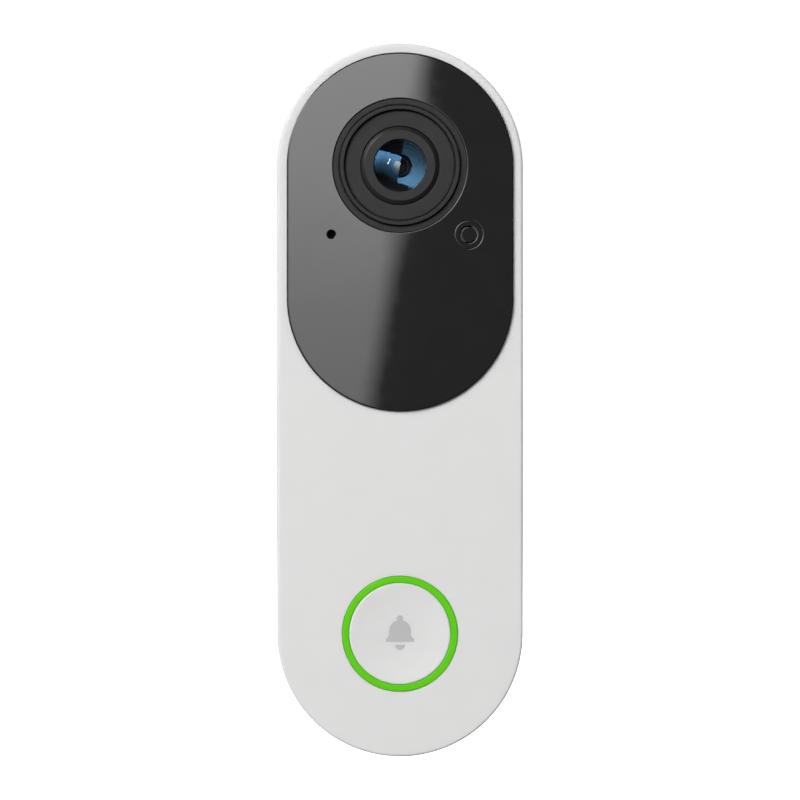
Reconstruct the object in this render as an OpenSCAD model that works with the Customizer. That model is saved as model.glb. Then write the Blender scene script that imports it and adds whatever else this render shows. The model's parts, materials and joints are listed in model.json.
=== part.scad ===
/* [Housing] */
// Width of the housing between its straight sides, mm
body_w = 45.5; // [45.5:0.1:46.3]
// Height of the housing from end to end, mm
body_h = 132; // [132:0.5:134]
// Thickness of the housing's side wall at the back, mm
wall = 1.8; // [1.6:0.1:1.9]
// Radius of the round on the housing's front edge, mm
edge_round = 0.5; // [0.3:0.1:1]
// Number of speaker slots in the lower end
slot_count = 5; // [3:1:5]
// Width of each speaker slot, mm
slot_w = 1.4; // [1:0.1:1.8]

/* [Front panel] */
// Width of the glossy front panel, mm
panel_w = 41.8; // [41.5:0.1:42.1]
// Height of the centre of the panel's lower round end above mid height, mm
panel_low = 18.8; // [18:0.1:20]
// How far the panel stands proud of the housing's face, mm
panel_proud = 0.8; // [0.5:0.1:1]
// Radius of the microphone hole, mm
mic_hole_r = 0.85; // [0.5:0.05:1]
// Radius of the light sensor's window, mm
window_r = 1.45; // [1.3:0.05:1.5]

/* [Camera] */
// Rise of the raised lip above the camera bezel's floor, mm
lip_rise = 1.1; // [0.5:0.1:1.4]
// Radius of curvature of the front lens, mm
dome_r = 11; // [10:0.5:13]
// How far the infra-red filter slides aside, mm
filter_travel = 4.6; // [4.4:0.1:4.6]

/* [Button] */
// Radius of the push button's cap, mm
button_r = 9.4; // [9.2:0.05:9.4]
// Outer radius of the light ring, mm
ring_r = 10.7; // [10.6:0.05:10.7]
// Depth of the dish in the button's face, mm
dish_depth = 0.4; // [0.4:0.1:0.7]
// Size of the bell symbol against its drawn size
symbol_scale = 1; // [0.8:0.05:1.2]

/* [Wall plate] */
// Distance between the two wall screw holes, mm
screw_spacing = 96; // [90:1:98]
// Radius of each wall screw hole, mm
screw_hole_r = 2.2; // [2:0.1:2.4]
// Width of the opening for the house wires, mm
wire_window_w = 22; // [20:0.5:24]
// Height of the opening for the house wires, mm
wire_window_h = 32; // [30:1:34]

/* [Hidden] */
$fn = 96;
joint = 0.5;

// Housing: distances from the wall and radii of the two cavities
body_r = body_w / 2;
end_c = (body_h - body_w) / 2;
camera_u = end_c + 0.1;
button_u = -end_c;
shell_back = 0.5;
face = 24;
cover_step = 8;
inner_front = 21.4;
rear_r = body_r - wall;
inner_r = body_r - 3;
panel_r = panel_w / 2;
recess_gap = 0.05;
recess_floor = 22.75;
tape_front = 22.95;
panel_face = face + panel_proud;

// Places of the screws, posts and small front parts
boss_x = 18.2;
boss_u = 30;
boss_r = 2.2;
screw_r = 1.2;
fit = 0.02;
post_x = 13;
post_u = 21;
post_r = 1.9;
small_screw_r = 1;
camera_post_x = 13.5;
side_x = 12.67;
side_drop = 12.75;
stake_r = 0.7;
stake_pad_r = 1.4;
stake_x = 16.2;
stake_drop = 7.35;
stake_rise = 16.2;
led_circle = 16.4;
led_angles = [30, 70, 110, 150];
led_hole_r = 1.5;
boot_hole_r = 1.5;
sensor_hole_r = 3;
sensor_rim_r = 2.6;
power_post_x = 10.5;
power_post_u = 15;

// Depths of the boards and of the back cover
cover_back = 5.6;
cover_front = 7.5;
power_back = 9.5;
power_front = 10.5;
main_back = 17.75;
main_front = 18.75;
sense_back = 19.4;
sense_front = 20.2;
boot_back = 21.2;
can_top = 20.55;
switch_back = 16.6;
switch_front = 17.6;
terminal_x = 6;
insert_r = 2.6;
thread_r = 1.5;
washer_back = 5.1;
reset_x = -10;
reset_u = 22;
reset_travel = 0.3;
reset_r = 1.4;

// Camera stack
bezel_r = 12.4;
bezel_hole_r = 7.3;
bezel_floor = 24.5;
flange_face = panel_face - 0.2;
retainer_face = 25.1;
lens_r = 4.85;
lens_apex = 26;
lens_back = 23.3;
lens_pit = 23.64;
barrel_r = 6;
stem_r = 4.5;
camera_back = 10;
camera_front = 11;
shuttle_half = 3.4;

// Button stack
ring_hole_r = ring_r + 0.08;
ring_inner_r = button_r + 0.05;
press_travel = 0.4;
bumper_gap = 0.08;
cap_skin = 22.3;
flange_top = 20.38;
flange_low = 19.38;
stem_low = 19.9;
plunger_top = stem_low - fit;
plunger_r = 1.2;
light_shelf = 21.2;
symbol_floor = face - 1;

// Speaker
speaker_top = -12.85;
speaker_low = -16.65;
speaker_half = 10;
speaker_back = 9;
speaker_front = 20;
speaker_mid = 14.5;
speaker_side = 1.2;
coil_r = 3.35;
coil_bore_r = 3;

// Security screw
lock_depth = 3;
lock_r = 1.2;
lock_head_r = 2;

white = [0.90, 0.90, 0.89];
gloss_black = [0.03, 0.03, 0.035];
satin_black = [0.09, 0.09, 0.095];
dark_grey = [0.25, 0.25, 0.26];
pale_grey = [0.70, 0.71, 0.72];
green_glow = [0.39, 0.82, 0.14];
glass_blue = [0.16, 0.26, 0.36];
board_green = [0.08, 0.32, 0.20];
steel = [0.66, 0.67, 0.69];
brass_gold = [0.80, 0.64, 0.32];
seal_grey = [0.18, 0.18, 0.19];
copper = [0.72, 0.42, 0.24];
amber = [0.72, 0.42, 0.12];

// Model space lies on its back: x right, y up the wall, z away from the wall.
// stand turns it upright, so the wall is the plane Y = 0 and the front faces -Y.
module stand() {
    rotate([90, 0, 0]) children();
}

module pill(r, low, high) {
    translate([0, low]) circle(r);
    translate([0, high]) circle(r);
    translate([-r, low]) square([2 * r, high - low]);
}

module pill_plate(r, low, high, back, front) {
    translate([0, 0, back]) linear_extrude(front - back) pill(r, low, high);
}

module pill_ring(outer, inner, low, high, back, front) {
    translate([0, 0, back]) linear_extrude(front - back) difference() {
        pill(outer, low, high);
        pill(inner, low, high);
    }
}

// Sweeps a profile of radius against depth round a pill outline
module pill_turned(low, high) {
    translate([0, high, 0]) rotate_extrude(angle = 180) children();
    translate([0, low, 0]) rotate([0, 0, 180]) rotate_extrude(angle = 180) children();
    translate([0, high, 0]) rotate([90, 0, 0]) linear_extrude(high - low) {
        children();
        mirror([1, 0]) children();
    }
}

// Half section of a flat slab with a round on its front outer edge
module rounded_section(r, back, front, round_r) {
    translate([0, back]) square([r - round_r, front - back]);
    translate([0, back]) square([r, front - back - round_r]);
    translate([r - round_r, front - round_r]) circle(round_r);
}

module disc(r, back, front) {
    translate([0, 0, back]) cylinder(r = r, h = front - back);
}

module ring(outer, inner, back, front) {
    translate([0, 0, back]) linear_extrude(front - back) difference() {
        circle(outer);
        circle(inner);
    }
}

module block(w, h, back, front) {
    translate([-w / 2, -h / 2, back]) cube([w, h, front - back]);
}

module spot(x, u) {
    translate([x, u, 0]) children();
}

module both_sides(x, u) {
    spot(x, u) children();
    spot(-x, u) children();
}

module four_spots(x, u) {
    both_sides(x, u) children();
    both_sides(x, -u) children();
}

// A rod along the height of the object
module upright(r, low, high, depth) {
    translate([0, low, depth]) rotate([-90, 0, 0]) cylinder(r = r, h = high - low);
}

module front_shell() {
    slot_pitch = 4;
    slot_back = 9;
    slot_front = 18;
    slot_reach = 5;
    pocket_w = 6.2;
    pocket_top = rear_r + 0.8;
    camera_hole_r = 14.3;
    boss_hole_end = 15;
    post_hole_end = 21.2;
    camera_hole_end = 17;
    color(white) stand() difference() {
        union() {
            difference() {
                pill_turned(-end_c, end_c)
                    rounded_section(body_r, shell_back, face, edge_round);
                pill_plate(rear_r, -end_c, end_c, 0, cover_step);
                pill_plate(inner_r, -end_c, end_c, cover_step - joint, inner_front);
            }
            intersection() {
                four_spots(boss_x, boss_u) disc(boss_r, cover_front, inner_front + joint);
                pill_plate(inner_r + 0.05, -end_c, end_c, cover_front, inner_front + joint);
            }
            four_spots(post_x, post_u) disc(post_r, main_front, inner_front + joint);
            both_sides(camera_post_x, camera_u)
                disc(post_r, camera_front, inner_front + joint);
            both_sides(stake_x, camera_u - stake_drop) stake();
            spot(0, camera_u + stake_rise) stake();
        }
        pill_plate(panel_r + recess_gap, panel_low, camera_u, recess_floor, face + joint);
        spot(0, camera_u) disc(camera_hole_r, inner_front - joint, face);
        spot(0, camera_u) for (a = led_angles) rotate([0, 0, a])
            spot(led_circle, 0) disc(led_hole_r, inner_front - joint, face);
        spot(-side_x, camera_u - side_drop) disc(boot_hole_r, inner_front - joint, face);
        spot(side_x, camera_u - side_drop) disc(sensor_hole_r, inner_front - joint, face);
        spot(0, button_u) disc(ring_hole_r, inner_front - joint, face + joint);
        four_spots(boss_x, boss_u) disc(screw_r, cover_front - joint, boss_hole_end);
        four_spots(post_x, post_u)
            disc(small_screw_r, main_front - joint, post_hole_end);
        both_sides(camera_post_x, camera_u)
            disc(small_screw_r, camera_front - joint, camera_hole_end);
        for (i = [0 : slot_count - 1])
            translate([(i - (slot_count - 1) / 2) * slot_pitch - slot_w / 2,
                    -end_c - body_r - joint, slot_back])
                cube([slot_w, slot_reach + 4, slot_front - slot_back]);
        translate([-pocket_w / 2, end_c + rear_r - 2, 2])
            cube([pocket_w, pocket_top - rear_r + 2, 1.6]);
        upright(lock_r + 0.1, -end_c - body_r, -end_c - rear_r + joint, lock_depth);
        upright(lock_head_r + 0.1, -end_c - body_r - joint, -end_c - body_r + 1, lock_depth);
    }
}

module stake() {
    disc(stake_pad_r, sense_front, inner_front + joint);
    disc(stake_r, sense_back - 0.6, sense_front + joint);
}

module front_panel() {
    panel_edge = 0.35;
    color(gloss_black) stand() difference() {
        pill_turned(panel_low, camera_u)
            rounded_section(panel_r, tape_front, panel_face, panel_edge);
        spot(0, camera_u) disc(bezel_r + 0.1, tape_front - joint, panel_face + joint);
        spot(-side_x, camera_u - side_drop)
            disc(mic_hole_r, tape_front - joint, panel_face + joint);
        spot(side_x, camera_u - side_drop)
            disc(sensor_rim_r + 0.06, tape_front - joint, panel_face + joint);
    }
}

module panel_tape() {
    tape_w = 2.4;
    tape_r = panel_r - 0.5;
    clear_r = led_hole_r + 0.2;
    color(dark_grey) stand() difference() {
        pill_ring(tape_r, tape_r - tape_w, panel_low, camera_u, recess_floor, tape_front);
        spot(0, camera_u) for (a = led_angles) rotate([0, 0, a])
            spot(led_circle, 0) disc(clear_r, recess_floor - joint, tape_front + joint);
    }
}

module camera_bezel() {
    bezel_rear = 21.9;
    rear_r_out = 14;
    lip_in = 10.15;
    lip_out = 11.25;
    crest_r = 0.12;
    crest = bezel_floor + lip_rise;
    lip_lap = 0.3;
    lip_taper = 0.18;
    crest_in = lip_in + lip_taper + crest_r;
    crest_out = lip_out - lip_taper - crest_r;
    color(satin_black) stand() spot(0, camera_u) rotate_extrude() {
        translate([bezel_hole_r, bezel_rear])
            square([rear_r_out - bezel_hole_r, tape_front - bezel_rear]);
        translate([bezel_hole_r, bezel_rear])
            square([bezel_r - bezel_hole_r, bezel_floor - bezel_rear]);
        translate([lip_out - lip_lap, bezel_rear])
            square([bezel_r - lip_out + lip_lap, flange_face - bezel_rear]);
        polygon([[lip_in, bezel_floor - joint], [lip_out, bezel_floor - joint],
            [lip_out, flange_face], [lip_out - lip_taper, crest - crest_r],
            [lip_in + lip_taper, crest - crest_r], [lip_in, bezel_floor]]);
        translate([crest_in, crest - 2 * crest_r]) square([crest_out - crest_in, 2 * crest_r]);
        for (r = [crest_in, crest_out]) translate([r, crest - crest_r]) circle(crest_r);
    }
}

module lens_retainer() {
    base_r = bezel_hole_r - 0.1;
    top_r = 6.5;
    skirt_low = 22.2;
    seat = lens_back + 0.1;
    lip_r = lens_r - 0.05;
    lip_back = retainer_face - 0.15;
    color(satin_black) stand() spot(0, camera_u) rotate_extrude() difference() {
        polygon([[lip_r, seat], [barrel_r + 0.05, seat], [barrel_r + 0.05, skirt_low],
            [base_r, skirt_low], [base_r, bezel_floor - 0.1], [top_r, retainer_face],
            [lip_r, retainer_face]]);
        translate([0, lens_back - joint])
            square([lens_r + fit, lip_back - lens_back + joint]);
    }
}

module front_lens() {
    back_r = 21;
    color(glass_blue) stand() spot(0, camera_u) rotate_extrude() intersection() {
        translate([0, lens_apex - dome_r]) circle(dome_r);
        translate([0, lens_pit + back_r]) circle(back_r);
        translate([0, lens_back]) square([lens_r, lens_apex - lens_back]);
    }
}

module second_lens() {
    rim_r = 2.8;
    bulge_r = 5;
    lens_low = 19.9;
    lens_high = 21.6;
    color(glass_blue) stand() spot(0, camera_u) rotate_extrude() intersection() {
        translate([0, lens_high - bulge_r]) circle(bulge_r);
        translate([0, lens_low]) square([rim_r, lens_high - lens_low]);
    }
}

module lens_barrel() {
    barrel_low = 14.8;
    shoulder = 17;
    baffle_r = 2.2;
    baffle_back = 21.5;
    baffle_front = 22.1;
    nose_r = 4.8;
    nose_front = 24.06;
    well_r = 4.3;
    seat_r = 2.82;
    seat_back = 19.9;
    seat_front = 21.62;
    bore_r = 2.3;
    color(satin_black) stand() spot(0, camera_u) rotate_extrude() difference() {
        union() {
            translate([0, barrel_low]) square([stem_r, shoulder - barrel_low + joint]);
            translate([0, shoulder]) square([barrel_r, lens_back - shoulder]);
            translate([0, lens_back - joint]) square([nose_r, nose_front - lens_back + joint]);
        }
        translate([0, baffle_front]) square([well_r, nose_front - baffle_front + joint]);
        translate([0, baffle_back]) square([baffle_r, baffle_front - baffle_back + joint]);
        translate([0, seat_back]) square([seat_r, seat_front - seat_back]);
        translate([0, barrel_low - joint]) square([bore_r, seat_back - barrel_low + 2 * joint]);
    }
}

module lens_holder() {
    base_w = 19;
    base_top = 15.4;
    tower_r = 7.4;
    tower_top = 20.9;
    shoulder = 17;
    rim_r = 9.8;
    rim_t = 1;
    cavity_floor = 12.6;
    cavity_top = 14.2;
    cavity_half = shuttle_half + 0.05;
    chip_w = 6.4;
    chip_h = 5.8;
    coil_pocket = [8, 4.2, 3.7];
    color(satin_black) stand() spot(0, camera_u) difference() {
        union() {
            block(base_w, base_w, camera_front, base_top);
            disc(tower_r, base_top - joint, tower_top);
            disc(rim_r, tower_top - rim_t, tower_top);
        }
        disc(barrel_r + 0.05, shoulder, tower_top + joint);
        disc(stem_r + 0.05, cavity_top - joint, shoulder + joint);
        translate([-cavity_half, -cavity_half, cavity_floor])
            cube([2 * cavity_half + filter_travel, 2 * cavity_half, cavity_top - cavity_floor]);
        block(chip_w, chip_h, camera_front - joint, cavity_floor + joint);
        translate([-3, 4.4, camera_front - joint]) cube(coil_pocket);
    }
}

module ir_cut_filter() {
    shuttle_back = 12.62;
    shuttle_front = 13.5;
    color(glass_blue) stand() spot(0, camera_u) difference() {
        block(2 * shuttle_half, 2 * shuttle_half, shuttle_back, shuttle_front);
        disc(2.6, shuttle_back + 0.4, shuttle_front + joint);
    }
}

module ir_cut_coil() {
    winding_r = 1.5;
    coil_low = 4.7;
    coil_high = 8.4;
    coil_depth = 12.6;
    color(copper) stand() spot(1, camera_u)
        upright(winding_r, coil_low, coil_high, coil_depth);
}

module image_sensor() {
    chip_top = 11.9;
    color(gloss_black) stand() spot(0, camera_u) difference() {
        block(6, 5, camera_front, chip_top);
        block(4.8, 3.8, chip_top - 0.1, chip_top + joint);
    }
}

module camera_board() {
    board_w = 19;
    arm_w = 31.2;
    arm_h = 4.8;
    color(board_green) stand() spot(0, camera_u) difference() {
        translate([0, 0, camera_back]) linear_extrude(camera_front - camera_back) {
            square([board_w, board_w], center = true);
            square([arm_w, arm_h], center = true);
        }
        both_sides(camera_post_x, 0)
            disc(small_screw_r, camera_back - joint, camera_front + joint);
    }
}

module camera_seal() {
    color(seal_grey) stand() spot(0, camera_u) ring(9.6, 7.6, 20.9, 21.9);
}

module small_screw(head_back, shank_end) {
    head_r = 1.6;
    head_t = 1;
    difference() {
        union() {
            disc(head_r, head_back, head_back + head_t);
            disc(small_screw_r - fit, head_back + head_t - 0.1, shank_end);
        }
        disc_cross(head_back, 0.6, 1.9, 0.4);
    }
}

// A cross recess cut into a screw head from its outer side
module disc_cross(from, deep, across, slot) {
    block(across, slot, from - joint, from + deep);
    block(slot, across, from - joint, from + deep);
}

module camera_screws() {
    color(steel) stand() both_sides(camera_post_x, camera_u) small_screw(9, 15.5);
}

module sensor_board() {
    board_r = 19.3;
    board_drop = 17.35;
    color(board_green) stand() difference() {
        translate([0, camera_u, sense_back]) linear_extrude(sense_front - sense_back)
            difference() {
                union() {
                    circle(board_r);
                    translate([-board_r, -board_drop]) square([2 * board_r, board_drop]);
                }
                circle(12.9);
                translate([camera_post_x, 0]) circle(post_r + 0.2);
                translate([-camera_post_x, 0]) circle(post_r + 0.2);
            }
        both_sides(boss_x, boss_u) disc(boss_r + 0.3, sense_back - joint, sense_front + joint);
        both_sides(stake_x, camera_u - stake_drop)
            disc(stake_r, sense_back - joint, sense_front + joint);
        spot(0, camera_u + stake_rise)
            disc(stake_r, sense_back - joint, sense_front + joint);
    }
}

module ir_leds() {
    led_r = 1.3;
    dome_start = 1.1;
    color(glass_blue) stand() spot(0, camera_u) for (a = led_angles) rotate([0, 0, a])
        spot(led_circle, 0) rotate_extrude() intersection() {
            union() {
                translate([0, sense_front]) square([led_r, dome_start]);
                translate([0, sense_front + dome_start]) circle(led_r);
            }
            translate([0, sense_front]) square([led_r, dome_start + led_r]);
        }
}

module microphone() {
    port_r = 0.3;
    port_deep = 0.2;
    color(steel) stand() spot(-side_x, camera_u - side_drop) difference() {
        block(2.9, 2, sense_front, boot_back);
        disc(port_r, boot_back - port_deep, boot_back + joint);
    }
}

module mic_boot() {
    flange_r = 2.1;
    port_r = 0.7;
    color(seal_grey) stand() spot(-side_x, camera_u - side_drop) difference() {
        union() {
            disc(flange_r, boot_back, inner_front);
            disc(boot_hole_r - fit, inner_front - 0.1, tape_front);
        }
        disc(port_r, boot_back - joint, tape_front + joint);
    }
}

module light_sensor() {
    color(dark_grey) stand() spot(side_x, camera_u - side_drop)
        block(2, 1.6, sense_front, 21);
}

module sensor_window() {
    window_back = 22.2;
    window_face = panel_face - 0.45;
    color(gloss_black) stand() spot(side_x, camera_u - side_drop) {
        disc(window_r, window_back, window_face);
        disc(sensor_hole_r - 0.15, window_back, tape_front);
    }
}

module sensor_bezel() {
    color(gloss_black) stand() spot(side_x, camera_u - side_drop)
        ring(sensor_rim_r, window_r + 0.17, tape_front, panel_face - 0.06);
}

module light_ring() {
    pipe_low = 18.5;
    shelf_low = flange_top + fit;
    pipe_in = 11;
    pipe_out = 12.2;
    color(green_glow) stand() spot(0, button_u) rotate_extrude() {
        translate([ring_inner_r, shelf_low]) square([ring_r - ring_inner_r, face - shelf_low]);
        translate([ring_inner_r, shelf_low])
            square([pipe_out - ring_inner_r, light_shelf - shelf_low]);
        translate([pipe_in, pipe_low]) square([pipe_out - pipe_in, light_shelf - pipe_low]);
    }
}

module ring_gasket() {
    color(seal_grey) stand() spot(0, button_u)
        ring(12.3, ring_hole_r + 0.1, light_shelf, inner_front);
}

// Points along an arc, from one angle to another
function arc(x, y, r, from, to, steps) =
    [for (i = [0 : steps]) let (a = from + (to - from) * i / steps)
        [x + r * cos(a), y + r * sin(a)]];

module bell_outline() {
    half_w = 2;
    flare = 2.6;
    dome_y = 0.5;
    knob_y = 2.82;
    knob_r = 0.57;
    dome_end = 77.4;
    knob_start = -40.2;
    clapper_r = 0.92;
    scale(symbol_scale) {
        polygon(concat(
            [[flare, -1.5], [flare, -0.98], [half_w, -0.45]],
            arc(0, dome_y, half_w, 0, dome_end, 16),
            arc(0, knob_y, knob_r, knob_start, 180 - knob_start, 20),
            arc(0, dome_y, half_w, 180 - dome_end, 180, 16),
            [[-half_w, -0.45], [-flare, -0.98], [-flare, -1.5]]));
        polygon(arc(0, -2.1, clapper_r, 180, 360, 24));
    }
}

// The shallow round cap of a large ball that leaves a dish in the button's face
module dish_cut() {
    dish_rim = button_r - 0.4;
    ball_r = (dish_rim * dish_rim + dish_depth * dish_depth) / (2 * dish_depth);
    rotate_extrude() intersection() {
        translate([0, face - dish_depth + ball_r]) circle(ball_r, $fn = 3600);
        translate([0, face - dish_depth - joint]) square([dish_rim + joint, 2 * dish_depth + 1]);
    }
}

module push_button() {
    skirt_r = 8.2;
    stop_r = 10.4;
    tip_r = 1.6;
    cap_round = 0.3;
    color(white) stand() spot(0, button_u) difference() {
        union() {
            rotate_extrude() rounded_section(button_r, flange_low, face, cap_round);
            disc(stop_r, flange_low, flange_top);
        }
        difference() {
            disc(skirt_r, flange_low - joint, cap_skin);
            disc(tip_r, stem_low, cap_skin + joint);
        }
        dish_cut();
        translate([0, 0, symbol_floor]) linear_extrude(face - symbol_floor + joint) bell_outline();
    }
}

module bell_symbol() {
    color(pale_grey) stand() spot(0, button_u) difference() {
        translate([0, 0, symbol_floor]) linear_extrude(face - symbol_floor) bell_outline();
        dish_cut();
    }
}

module button_bumper() {
    bumper_r = 10;
    bumper_hole_r = 8.5;
    color(seal_grey) stand() spot(0, button_u)
        ring(bumper_r, bumper_hole_r, switch_front, flange_low - press_travel - bumper_gap);
}

module button_board() {
    board_r = 12.5;
    color(board_green) stand() spot(0, button_u) disc(board_r, switch_back, switch_front);
}

module ring_leds() {
    led_r = 11.6;
    led_count = 8;
    led_turn = 22.5;
    led_top = 18.2;
    color(pale_grey) stand() spot(0, button_u) for (i = [0 : led_count - 1])
        rotate([0, 0, i * 360 / led_count + led_turn]) spot(led_r, 0)
            block(1, 1.6, switch_front, led_top);
}

module button_switch() {
    body_side = 6;
    body_top = 18.95;
    pit_floor = 18;
    color(steel) stand() spot(0, button_u) difference() {
        block(body_side, body_side, switch_front, body_top);
        disc(plunger_r + 0.05, pit_floor, body_top + joint);
    }
}

module switch_plunger() {
    plunger_low = 18.45;
    color(dark_grey) stand() spot(0, button_u) disc(plunger_r, plunger_low, plunger_top);
}

module speaker_box(half_x, low, high, back, front) {
    translate([-half_x, button_u + low, back]) cube([2 * half_x, high - low, front - back]);
}

module speaker_frame() {
    lid = 1.1;
    color(dark_grey) stand() difference() {
        speaker_box(speaker_half, speaker_low, speaker_top, speaker_back, speaker_front);
        speaker_box(speaker_half - speaker_side, speaker_low - joint, speaker_top - lid,
            speaker_back + speaker_side, speaker_front - speaker_side);
    }
}

module speaker_cone() {
    film_half = 8.4;
    film_low = -16.45;
    film_high = -16.15;
    coil_top = -14.85;
    color(seal_grey) stand() {
        speaker_box(film_half, film_low, film_high, 10.5, 18.5);
        spot(0, button_u) difference() {
            upright(coil_r, film_high - 0.1, coil_top, speaker_mid);
            upright(coil_bore_r, film_high + 0.15, coil_top + joint, speaker_mid);
        }
    }
}

module speaker_magnet() {
    cup_r = 4.2;
    cup_low = -15.45;
    cup_high = -13.95;
    slot_r = 3.7;
    pole_r = 2.6;
    color(steel) stand() spot(0, button_u) difference() {
        upright(cup_r, cup_low, cup_high, speaker_mid);
        difference() {
            upright(slot_r, cup_low - joint, cup_high - 0.5, speaker_mid);
            upright(pole_r, cup_low - 2 * joint, cup_high, speaker_mid);
        }
    }
}

module speaker_gasket() {
    gasket_low = -16.9;
    opening_half = 8.7;
    color(seal_grey) stand() difference() {
        speaker_box(speaker_half, gasket_low, speaker_low, speaker_back, speaker_front);
        speaker_box(opening_half, gasket_low - joint, speaker_low + joint, 10.2, 18.8);
    }
}

module speaker_mesh() {
    mesh_t = 0.2;
    mesh_half = 9.3;
    mesh_back = 8.6;
    mesh_front = 18.5;
    color(dark_grey) stand()
        translate([0, button_u, mesh_back]) linear_extrude(mesh_front - mesh_back)
        intersection() {
            difference() {
                circle(inner_r - fit);
                circle(inner_r - fit - mesh_t);
            }
            translate([-mesh_half, -inner_r]) square([2 * mesh_half, 4]);
        }
}

module speaker_leads() {
    wire_r = 0.35;
    lead_x = 5;
    bend_r = 2;
    run_depth = 12.2;
    board_u = -24.5;
    color(satin_black) stand() both_sides(lead_x, 0) {
        upright(wire_r, button_u + speaker_top, board_u - bend_r, run_depth);
        translate([0, board_u - bend_r, run_depth + bend_r]) rotate([0, 90, 0])
            rotate_extrude(angle = 90) translate([bend_r, 0]) circle(wire_r);
        spot(0, board_u) disc(wire_r, run_depth + bend_r, main_back);
    }
}

module main_board() {
    board_half = 15.5;
    board_low = -26;
    board_high = 28.5;
    color(board_green) stand() difference() {
        translate([-board_half, board_low, main_back])
            cube([2 * board_half, board_high - board_low, main_front - main_back]);
        four_spots(post_x, post_u) disc(small_screw_r, main_back - joint, main_front + joint);
    }
}

module board_screws() {
    color(steel) stand() {
        four_spots(post_x, post_u) small_screw(main_back - 1, 21);
        four_spots(power_post_x, power_post_u) power_screw();
    }
}

// The power board's screws go in from its front side
module power_screw() {
    translate([0, 0, 2 * power_front]) mirror([0, 0, 1])
        small_screw(power_front - 1, power_front + 2.7);
}

module processor() {
    chip_side = 11;
    chip_top = 19.85;
    color(satin_black) stand() spot(0, 4) block(chip_side, chip_side, main_front, chip_top);
}

module shield_can() {
    can_w = 18;
    can_h = 22;
    sheet = 0.25;
    color(steel) stand() spot(0, 3) difference() {
        block(can_w, can_h, main_front, can_top);
        block(can_w - 2 * sheet, can_h - 2 * sheet, main_front - joint, can_top - sheet);
    }
}

module heat_spreader() {
    spreader_w = 21;
    spreader_h = 30;
    color(steel) stand() spot(0, 2) block(spreader_w, spreader_h, can_top, inner_front);
}

module radio_module() {
    color(dark_grey) stand() {
        spot(3, -18.5) block(12, 9, main_front, 20.3);
        spot(-8, -19) block(3, 8, main_front, 19.6);
    }
}

module board_connector() {
    color(dark_grey) stand() translate([-5, 26.4, main_front])
        cube([10, 1.8, sense_back - main_front]);
}

module camera_flex() {
    strip_w = 8;
    strip_t = 0.15;
    bend = 1.65;
    back_u = 32;
    rise_u = back_u - bend;
    low = camera_back - strip_t;
    high = main_back - strip_t;
    front_u = rise_u - bend + strip_t;
    color(amber) stand() translate([strip_w / 2, 0, 0]) rotate([0, -90, 0])
        linear_extrude(strip_w) {
            translate([low, back_u]) square([strip_t, 4]);
            translate([low + bend, back_u]) corner_band(bend, strip_t, 180);
            translate([low + bend, rise_u]) square([high - low - 2 * bend + strip_t, strip_t]);
            translate([main_back - bend, front_u]) corner_band(bend, strip_t, 0);
            translate([high, 24]) square([strip_t, front_u - 24]);
        }
}

// A quarter of a flat ring; turn 180 keeps the lower left quarter, 0 the upper right
module corner_band(outer, band, turn) {
    rotate(turn) intersection() {
        difference() {
            circle(outer);
            circle(outer - band);
        }
        square(outer);
    }
}

module button_flex() {
    strip_w = 6;
    low_end = button_u + 10.15;
    high_end = -23;
    color(amber) stand() translate([-strip_w / 2, low_end, switch_front])
        cube([strip_w, high_end - low_end, main_back - switch_front]);
}

module power_board() {
    board_half = 13;
    board_low = -18;
    board_high = 25;
    color(board_green) stand() difference() {
        translate([-board_half, board_low, power_back])
            cube([2 * board_half, board_high - board_low, power_front - power_back]);
        both_sides(terminal_x, 0) disc(1.45, power_back - joint, power_front + joint);
        four_spots(power_post_x, power_post_u)
            disc(small_screw_r, power_back - joint, power_front + joint);
    }
}

module board_header() {
    color(satin_black) stand() translate([-5, 19.5, power_front])
        cube([10, 2.5, main_back - power_front]);
}

module supercapacitor() {
    can_r = 3.1;
    color(dark_grey) stand() spot(-5.5, 0) upright(can_r, 3, 18, power_front + can_r);
}

module power_choke() {
    flange_r = 4.2;
    core_r = 3.4;
    choke_top = 15.6;
    color(copper) stand() spot(5.5, 10) difference() {
        disc(flange_r, power_front, choke_top);
        ring(flange_r + joint, core_r, power_front + 1, choke_top - 1);
    }
}

module rectifier() {
    chip_top = 13;
    color(satin_black) stand() spot(0, -9) block(8, 6.5, power_front, chip_top);
}

module terminal_inserts() {
    collar_r = 3.4;
    collar_top = 8.2;
    neck_r = 2.2;
    pin_r = 1.43;
    pin_top = 11;
    thread_top = 9.2;
    color(brass_gold) stand() both_sides(terminal_x, 0) difference() {
        union() {
            disc(insert_r, cover_back, cover_front + 0.1);
            disc(collar_r, cover_front, collar_top);
            disc(neck_r, collar_top - 0.1, power_back);
            disc(pin_r, power_back - 0.1, pin_top);
        }
        disc(thread_r, cover_back - joint, thread_top);
    }
}

module terminal_washers() {
    washer_r = 3.5;
    color(steel) stand() both_sides(terminal_x, 0)
        ring(washer_r, thread_r + 0.1, washer_back, cover_back);
}

module terminal_screws() {
    head_r = 3;
    head_back = 3.4;
    screw_end = 9;
    color(brass_gold) stand() both_sides(terminal_x, 0) difference() {
        union() {
            disc(head_r, head_back, washer_back);
            disc(thread_r - fit, washer_back - 0.1, screw_end);
        }
        disc_cross(head_back, 1, 4.4, 0.8);
    }
}

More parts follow.
